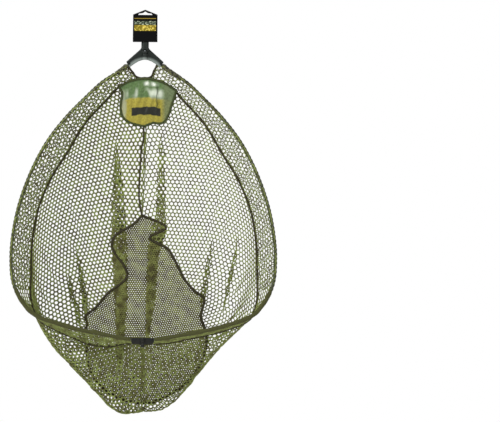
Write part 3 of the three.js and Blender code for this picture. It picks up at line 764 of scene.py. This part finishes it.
# ---- what repeats along a line ----
def row_tree():
    """Geometry nodes that set a small piece again and again along a line, facing along it."""
    tree = bpy.data.node_groups.new("row_along_a_line", "GeometryNodeTree")
    sockets = {}
    for name, kind in (("Line", "Geometry"), ("Spacing", "Float"), ("Piece", "Object"), ("Lean", "Rotation"),
                       ("Material", "Material")):
        sockets[name] = tree.interface.new_socket(name=name, in_out="INPUT", socket_type=f"NodeSocket{kind}")
    tree.interface.new_socket(name="Row", in_out="OUTPUT", socket_type="NodeSocketGeometry")
    given = add_node(tree, "NodeGroupInput").outputs
    line = add_node(tree, "GeometryNodeMeshToCurve", {"Mesh": given["Line"]})
    spaced = add_node(tree, "GeometryNodeResampleCurve", mode="LENGTH")
    tree.links.new(line.outputs[0], spaced.inputs["Curve"])
    tree.links.new(given["Spacing"], spaced.inputs["Length"])
    tangent = add_node(tree, "GeometryNodeInputTangent").outputs[0]
    facing = add_node(tree, "FunctionNodeAlignRotationToVector", {"Vector": tangent}, axis="Z")
    front = add_node(tree, "FunctionNodeAlignRotationToVector",
                     {"Rotation": facing.outputs[0], "Vector": (0, -1, 0)},
                     axis="X", pivot_axis="Z")
    turned = add_node(tree, "FunctionNodeRotateRotation",
                      {"Rotation": front.outputs[0], "Rotate By": given["Lean"]},
                      rotation_space="LOCAL")
    piece = add_node(tree, "GeometryNodeObjectInfo", {"Object": given["Piece"]})
    row = add_node(tree, "GeometryNodeInstanceOnPoints", {
        "Points": spaced.outputs[0], "Instance": piece.outputs["Geometry"], "Rotation": turned.outputs[0]})
    real = add_node(tree, "GeometryNodeRealizeInstances", {"Geometry": row.outputs[0]})
    painted = add_node(tree, "GeometryNodeSetMaterial",
                       {"Geometry": real.outputs[0], "Material": given["Material"]})
    add_node(tree, "NodeGroupOutput", {0: painted.outputs[0]})
    return tree, sockets


ROW_TREE, ROW_INPUTS = row_tree()


def row(name, path, spacing, piece, material, lean=(0, 0, 0)):
    mesh = bpy.data.meshes.new(name)
    mesh.from_pydata((np.asarray(path) * MM).tolist(), [(i, i + 1) for i in range(len(path) - 1)], [])
    line = bpy.data.objects.new(name, mesh)
    bpy.context.scene.collection.objects.link(line)
    made = line.modifiers.new("row", "NODES")
    made.node_group = ROW_TREE
    for socket, value in (("Spacing", spacing * MM), ("Piece", piece), ("Lean", lean), ("Material", material)):
        made[ROW_INPUTS[socket].identifier] = value
    return finished(line, name)


def loop_piece(name, radius, thread, sides):
    """A closed ring of thread round the Z axis."""
    angle = np.linspace(0, 2 * math.pi, sides, endpoint=False)
    section = np.linspace(0, 2 * math.pi, 5, endpoint=False)
    out = np.broadcast_to(radius + thread * np.cos(section), (sides, 5))
    vertices = np.stack([np.cos(angle)[:, None] * out, np.sin(angle)[:, None] * out,
                         np.broadcast_to(thread * np.sin(section), out.shape)], axis=-1)
    faces = [(i * 5 + j, ((i + 1) % sides) * 5 + j, ((i + 1) % sides) * 5 + (j + 1) % 5, i * 5 + (j + 1) % 5)
             for i in range(sides) for j in range(5)]
    made = new_object(name, vertices.reshape(-1, 3), faces)
    if volume(made) < 0:
        made.data.flip_normals()
    return made


def stitch_piece(name, length, thread):
    """One stitch: a short thread that dips into the cloth at both ends, along Z and proud along X."""
    reach = np.linspace(-1, 1, 5)
    path = np.stack([thread * (1 - 2.2 * reach ** 2), 0 * reach, reach * length / 2], axis=1)
    return tube(name, path, thread, None, sides=5)


def beside(path, toward_front, outward):
    """A path moved to the front and away from the hoop's middle."""
    along = np.gradient(path, axis=0)
    away = np.cross(along, [0, 1, 0])
    away /= np.linalg.norm(away, axis=1)[:, None]
    middle = np.array([0, 0, -430])
    away *= np.sign(((path - middle) * away).sum(axis=1))[:, None]
    return path + away * outward + np.array([0, -toward_front, 0])


# ---- seams ----
def taped(name, path, radius=TAPE_R, material=TAPE, sides=10):
    """A bound seam: tape folded round the netting's edge, a little uneven."""
    count = max(24, int(lengths(path)[-1] / 3))
    path = at_shares(path, np.linspace(0, 1, count))
    steps = np.arange(count)
    swell = 1 + 0.12 * np.sin(steps * 0.9) * np.sin(steps * 0.23 + 1)
    swell[0] = swell[-1] = 0.8
    return tube(name, path, (radius * swell)[:, None] * np.ones((1, sides)), material, sides=sides)


def make_seams():
    stitch = stitch_piece("stitch", 3.0, 0.45)
    rim = np.concatenate([RIM_LINE["left"][::-1], RIM_LINE["right"][1:]])
    edges = {side: base_edge(side) for side in SIDES}
    foot = np.concatenate([edges["left"][::-1], edges["right"][1:]])
    back = smooth(place(BACK_SEAM))
    pieces = (
        ("rim_seam", rim, ["rim_seam_left", "rim_seam_right"], TAPE_R),
        ("base_seam", foot, ["base_seam_left", "base_seam_right"], TAPE_R * 1.15),
        ("back_seam_tape", back, ["back_seam"], 2.3),
        ("opening_binding", smooth(place(OPENING)), ["opening_piping_left", "opening_piping_right"], 3.0),
    )
    for name, path, nodes, radius in pieces:
        tape = taped(name, path, radius)
        sewn = row(f"{name}_stitches", path + [0, -radius * 0.9, 0], 4.5, stitch, DARK_THREAD)
        whole = joined(name, [tape, sewn])
        bend_with_fold(whole)
        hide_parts(*nodes)
    hem = smooth(place([[-64.5, -866, 166], [-26.5, -861, 172], [15.5, -852, 175], [60, -836, 173],
                        [90, -815, 168],
                        [108, -799, 163]]))
    hem = pleated(hem) - [0, 3, 0]
    thin = taped("base_hem", hem, 0.9, TAPE, 8)
    bend_with_fold(thin)
    bpy.data.objects.remove(stitch)


# ---- badge ----
def badge_surface(columns=76, rows=64):
    u = np.linspace(0, 1, columns)[:, None, None]
    v = np.linspace(0, 1, rows)[None, :, None]
    top, foot, left, right = [
        smooth([[x, z] for x, z in line], count)
        for line, count in ((BADGE_TOP, columns), (BADGE_BOTTOM, columns), (BADGE_LEFT, rows),
                            (BADGE_RIGHT, rows))
    ]
    flat = (1 - v) * top[:, None] + v * foot[:, None] + (1 - u) * left[None] + u * right[None]
    flat -= (1 - u) * (1 - v) * top[0] + u * (1 - v) * top[-1] + (1 - u) * v * foot[0] + u * v * foot[-1]
    x, z = flat[..., 0], flat[..., 1]
    depth = np.interp(-z, [90, 120, 160, 215], [9, 17, 30, 43])
    middle = np.sin(math.pi * u[..., 0]) * np.sin(math.pi * v[..., 0])
    crumple = 2.6 * np.sin(x * 0.16 + z * 0.05) * np.sin(z * 0.09 - x * 0.03) + 1.2 * np.sin(x * 0.37 - z * 0.12)
    crease = -4.5 * np.exp(-((x - 30) / 3.5) ** 2)
    y = depth - 2.5 + (crumple - 3 + crease) * middle
    return np.stack([x, y, z], axis=-1)


def make_badge():
    points = badge_surface()
    columns, rows = points.shape[:2]
    uv = points.reshape(-1, 3)[:, [0, 2]] / 100
    badge = new_object("badge_cloth", points.reshape(-1, 3), grid_faces(columns, rows), SATIN, uv)
    thick = badge.modifiers.new("thickness", "SOLIDIFY")
    thick.thickness = 0.6 * MM
    thick.offset = 0
    badge = finished(badge, "badge_cloth")
    edge = np.concatenate([points[:, 0], points[-1, 1:], points[-2::-1, -1], points[0, -2:0:-1]])
    loop = np.concatenate([edge, edge[:1]])
    piping = taped("badge_piping", loop, 3.2, BADGE_TAPE)
    stitch = stitch_piece("stitch", 2.6, 0.4)
    stitches = row("badge_stitches", at_shares(loop, np.linspace(0, 1, 300)) + [0, -3, 0], 4.0, stitch,
                   DARK_THREAD)
    bpy.data.objects.remove(stitch)
    piping = joined("badge_piping", [piping, stitches])
    for piece in (badge, piping):
        bend_with_fold(piece)
    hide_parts("badge_left", "badge_right")


# ---- hoop ----
def make_hoop():
    rng = np.random.default_rng(7)
    for side in SIDES:
        body = f"{side}_half"
        rod = tube(f"hoop_tube_{side}", hoop_part(side, 1, HOOP_LENGTH - 1, 5), ROD_R, ROD, sides=18)
        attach(rod, body)
        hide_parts(f"frame_rod_{side}")

        sleeve_start = SLEEVE_START * HOOP_LENGTH
        path = hoop_part(side, sleeve_start, HOOP_LENGTH - HINGE_GAP, 2.2)
        count, around = len(path), 20
        angle = np.linspace(0, 2 * math.pi, around, endpoint=False)[None, :]
        steps = np.arange(count)[:, None]
        wrinkle = 0.28 * np.sin(steps * 0.47 + 1.3 * np.sin(angle)) + 0.2 * np.sin(steps * 0.19 + 2 * angle)
        wrinkle = wrinkle + rng.normal(0, 0.07, (count, around))
        gather = ease(np.minimum(steps, count - 1 - steps) / 5)
        radius = ROD_R + SLEEVE_WALL + (SLEEVE_R - ROD_R - SLEEVE_WALL) * gather + wrinkle * gather
        sleeve = tube(f"bar_sleeve_cloth_{side}", path, radius, SLEEVE, sides=around)
        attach(sleeve, body)
        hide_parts(f"bar_sleeve_{side}")

        bound = hoop_part(side, 21, WHIPPING_END[side], 1.2)
        count = len(bound)
        steps = np.arange(count)[:, None]
        lump = 0.8 * np.sin(steps * 0.55 + 2 * angle) * np.sin(steps * 0.23 + 1) + rng.normal(0, 0.2,
                                                                                              (count, around))
        taper = ease(np.minimum(3 * steps + 6, count + 1 - steps) / 12)
        radius = ROD_R + 0.7 + (1.9 + 0.8 * lump) * taper
        whipping = tube(f"whipping_{side}", bound, radius, WHIPPING, sides=around)
        turn = loop_piece("turn", 5.6, 0.9, 18)
        turns = row(f"whipping_turns_{side}", bound, 2.6, turn, WHIPPING, (0.3, 0, 0))
        bpy.data.objects.remove(turn)
        whipping = joined(f"whipping_{side}", [whipping, turns])
        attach(whipping, body)
        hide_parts(f"net_whipping_{side}")

        laced = hoop_part(side, 60, sleeve_start + 4, 3)
        ring_piece = loop_piece("ring", 4.3, 0.8, 14)
        rings = row(f"lacing_rings_{side}", beside(laced, 0, 0.2), LACING_STEP, ring_piece, LACE, (0.45, 0, 0))
        bpy.data.objects.remove(ring_piece)
        reach = lengths(laced)
        dense = at_shares(laced, np.linspace(0, 1, int(reach[-1] / 1.2)))
        phase = lengths(dense) * 2 * math.pi / LACING_STEP
        away = beside(dense, 0, 1) - dense
        scallop = dense + away * (3.9 + 0.5 * np.sin(phase))[:, None]
        scallop[:, 1] += 1.4 * np.cos(phase) - 1
        cord = tube(f"lacing_cord_{side}", scallop, 1.0, LACE, sides=6)
        lacing = joined(f"rim_lacing_{side}", [rings, cord])
        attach(lacing, body)

        stitch = stitch_piece("stitch", 4.0, 0.5)
        seam = hoop_part(side, sleeve_start + 6, HOOP_LENGTH - 26, 4) + [0, -3.6, -3.8]
        stitches = row(f"sleeve_stitches_{side}", seam, 6.0, stitch, DARK_THREAD)
        bpy.data.objects.remove(stitch)
        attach(stitches, body)


# ---- moulded pieces, metal and card ----
def rounded(node, name, material, voxel, passes):
    """A copy of a CAD piece with the softened edges of a moulding."""
    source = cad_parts[node]
    copy = bpy.data.objects.new(name, source.data.copy())
    bpy.context.scene.collection.objects.link(copy)
    weld = copy.modifiers.new("weld", "WELD")
    weld.merge_threshold = 0.00001
    skin = copy.modifiers.new("skin", "REMESH")
    skin.mode = "VOXEL"
    skin.voxel_size = voxel * MM
    soft = copy.modifiers.new("soft", "SMOOTH")
    soft.factor = 0.5
    soft.iterations = passes
    made = finished(copy, name)
    made.data.materials.clear()
    made.data.materials.append(material)
    made.data.shade_smooth()
    return made


def make_mouldings():
    for node, name, body, material, slot in (
        ("block_body", "block_shell", "left_half", BLOCK, "block_nylon"),
        ("block_wing", "block_wing_shell", "right_half", BLOCK, "block_nylon"),
        ("front_hinge_leaf_left", "hinge_leaf_left", "left_half", HINGE, "hinge_nylon"),
        ("front_hinge_leaf_right", "hinge_leaf_right", "right_half", HINGE, "hinge_nylon"),
        ("lock_slider", "lock_slide_button", "lock_slider", HINGE, "hinge_nylon"),
    ):
        piece = rounded(node, name, material, SLIDER_VOXEL if node == "lock_slider" else MOULDING_VOXEL, 4)
        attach(piece, body)
        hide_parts(node)


def make_stud():
    """Brass stud with a cut screw thread."""
    low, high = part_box("handle_stud")
    bottom, top = low[2] / MM, high[2] / MM
    pitch, cut, around = 1.27, 0.75, 36
    angle = np.linspace(0, 2 * math.pi, around, endpoint=False)
    heights = np.arange(bottom, top + 0.01, pitch / 6)
    heights[-1] = top
    outer = (high[0] - low[0]) / 2 / MM
    turn = (heights[:, None] / pitch - angle[None, :] / (2 * math.pi)) % 1
    thread = outer - cut * (1 - np.abs(2 * turn - 1))
    end = ease((top - heights) / 1.4)[:, None]
    radius = thread * end + (outer - 1.2) * (1 - end)
    path = np.stack([0 * heights, 0 * heights, heights], axis=1)
    stud = tube("threaded_stud", path, radius, BRASS, sides=around)
    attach(stud, "left_half")
    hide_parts("handle_stud")


def make_spring():
    """The lock's return spring. It shortens as the slider goes up."""
    low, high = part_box("lock_spring")
    wire, turns, steps = 0.35, 5, 120
    centre = (low + high) / 2 / MM
    winding = (high[0] - low[0]) / 2 / MM - wire
    share = np.linspace(0, 1, steps)
    angle = 2 * math.pi * turns * share
    height = (low[2] / MM + wire) * (1 - share) + (high[2] / MM - wire) * share
    path = np.stack([centre[0] + winding * np.cos(angle), centre[1] + winding * np.sin(angle), height], axis=1)
    spring = tube("lock_return_spring", path, wire, STEEL, sides=8)
    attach(spring, "left_half")
    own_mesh(spring)
    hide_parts("lock_spring")


def dress_cad_pieces():
    for node, material in (
        ("hang_card", CARD), ("block_pivot_pin", STEEL), ("front_hinge_pin", STEEL),
        ("socket_rivet_left", BLACK_STEEL), ("socket_rivet_right", BLACK_STEEL),
        ("hinge_rivet_left", BLACK_STEEL),
        ("hinge_rivet_right", BLACK_STEEL),
    ):
        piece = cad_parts[node]
        for slot in piece.material_slots:
            slot.material = material


# ---- studio ----
def make_studio():
    scene = bpy.context.scene
    scene.view_settings.view_transform = "Standard"
    camera = bpy.data.cameras.new("camera")
    distance, view_width, roll = 8.0, 1.27, math.radians(0.48)
    camera.lens = camera.sensor_width * distance / view_width
    camera.clip_end = 100
    holder = bpy.data.objects.new("camera", camera)
    holder.location = (0.270, -distance, -0.427)
    holder.rotation_euler = (math.pi / 2, -roll, 0)
    scene.collection.objects.link(holder)
    scene.camera = holder

    # A white backdrop. It lights the net less than it shines, and less from below, so folds keep their shade.
    world = bpy.data.worlds.new("white_studio")
    world.use_nodes = True
    tree = world.node_tree
    tree.nodes.clear()
    upward = add_node(tree, "ShaderNodeSeparateXYZ",
                      {0: add_node(tree, "ShaderNodeTexCoord").outputs["Generated"]})
    dimmed = add_node(tree, "ShaderNodeMapRange", {"Value": upward.outputs["Z"], "From Min": -1, "From Max": 1,
                                                   "To Min": 0.25, "To Max": 0.95}).outputs[0]
    white, soft_light = [add_node(tree, "ShaderNodeBackground", {"Color": (1, 1, 1, 1), "Strength": strength})
                         for strength in (1.0, dimmed)]
    seen = add_node(tree, "ShaderNodeLightPath").outputs["Is Camera Ray"]
    sky = add_node(tree, "ShaderNodeMixShader", {0: seen, 1: soft_light.outputs[0], 2: white.outputs[0]})
    add_node(tree, "ShaderNodeOutputWorld", {"Surface": sky.outputs[0]})
    scene.world = world

    for name, spot, energy, size in (
        ("key", (-2.5, -2.0, 1.6), 100, 1.2),
        ("fill", (2.2, -2.6, 0.6), 22, 1.6),
    ):
        lamp = bpy.data.lights.new(name, "AREA")
        lamp.energy = energy
        lamp.size = size
        lamp_object = bpy.data.objects.new(name, lamp)
        lamp_object.location = spot
        away = np.array(spot) - np.array([0, 0, -0.4])
        lamp_object.rotation_euler = (math.acos(away[2] / np.linalg.norm(away)), 0,
                                      math.atan2(away[0], -away[1]))
        scene.collection.objects.link(lamp_object)

    radius, depth, sides = 2.6, -1250, 96
    angle = np.linspace(0, 2 * math.pi, sides, endpoint=False)
    rim = np.stack([1000 * radius * np.cos(angle), 1000 * radius * np.sin(angle), 0 * angle + depth], axis=1)
    floor = new_object("studio_floor", rim, [tuple(range(sides))], floor_paint())


make_studio()
make_netting()
make_seams()
make_badge()
make_hoop()
make_mouldings()
make_stud()
make_spring()
dress_cad_pieces()
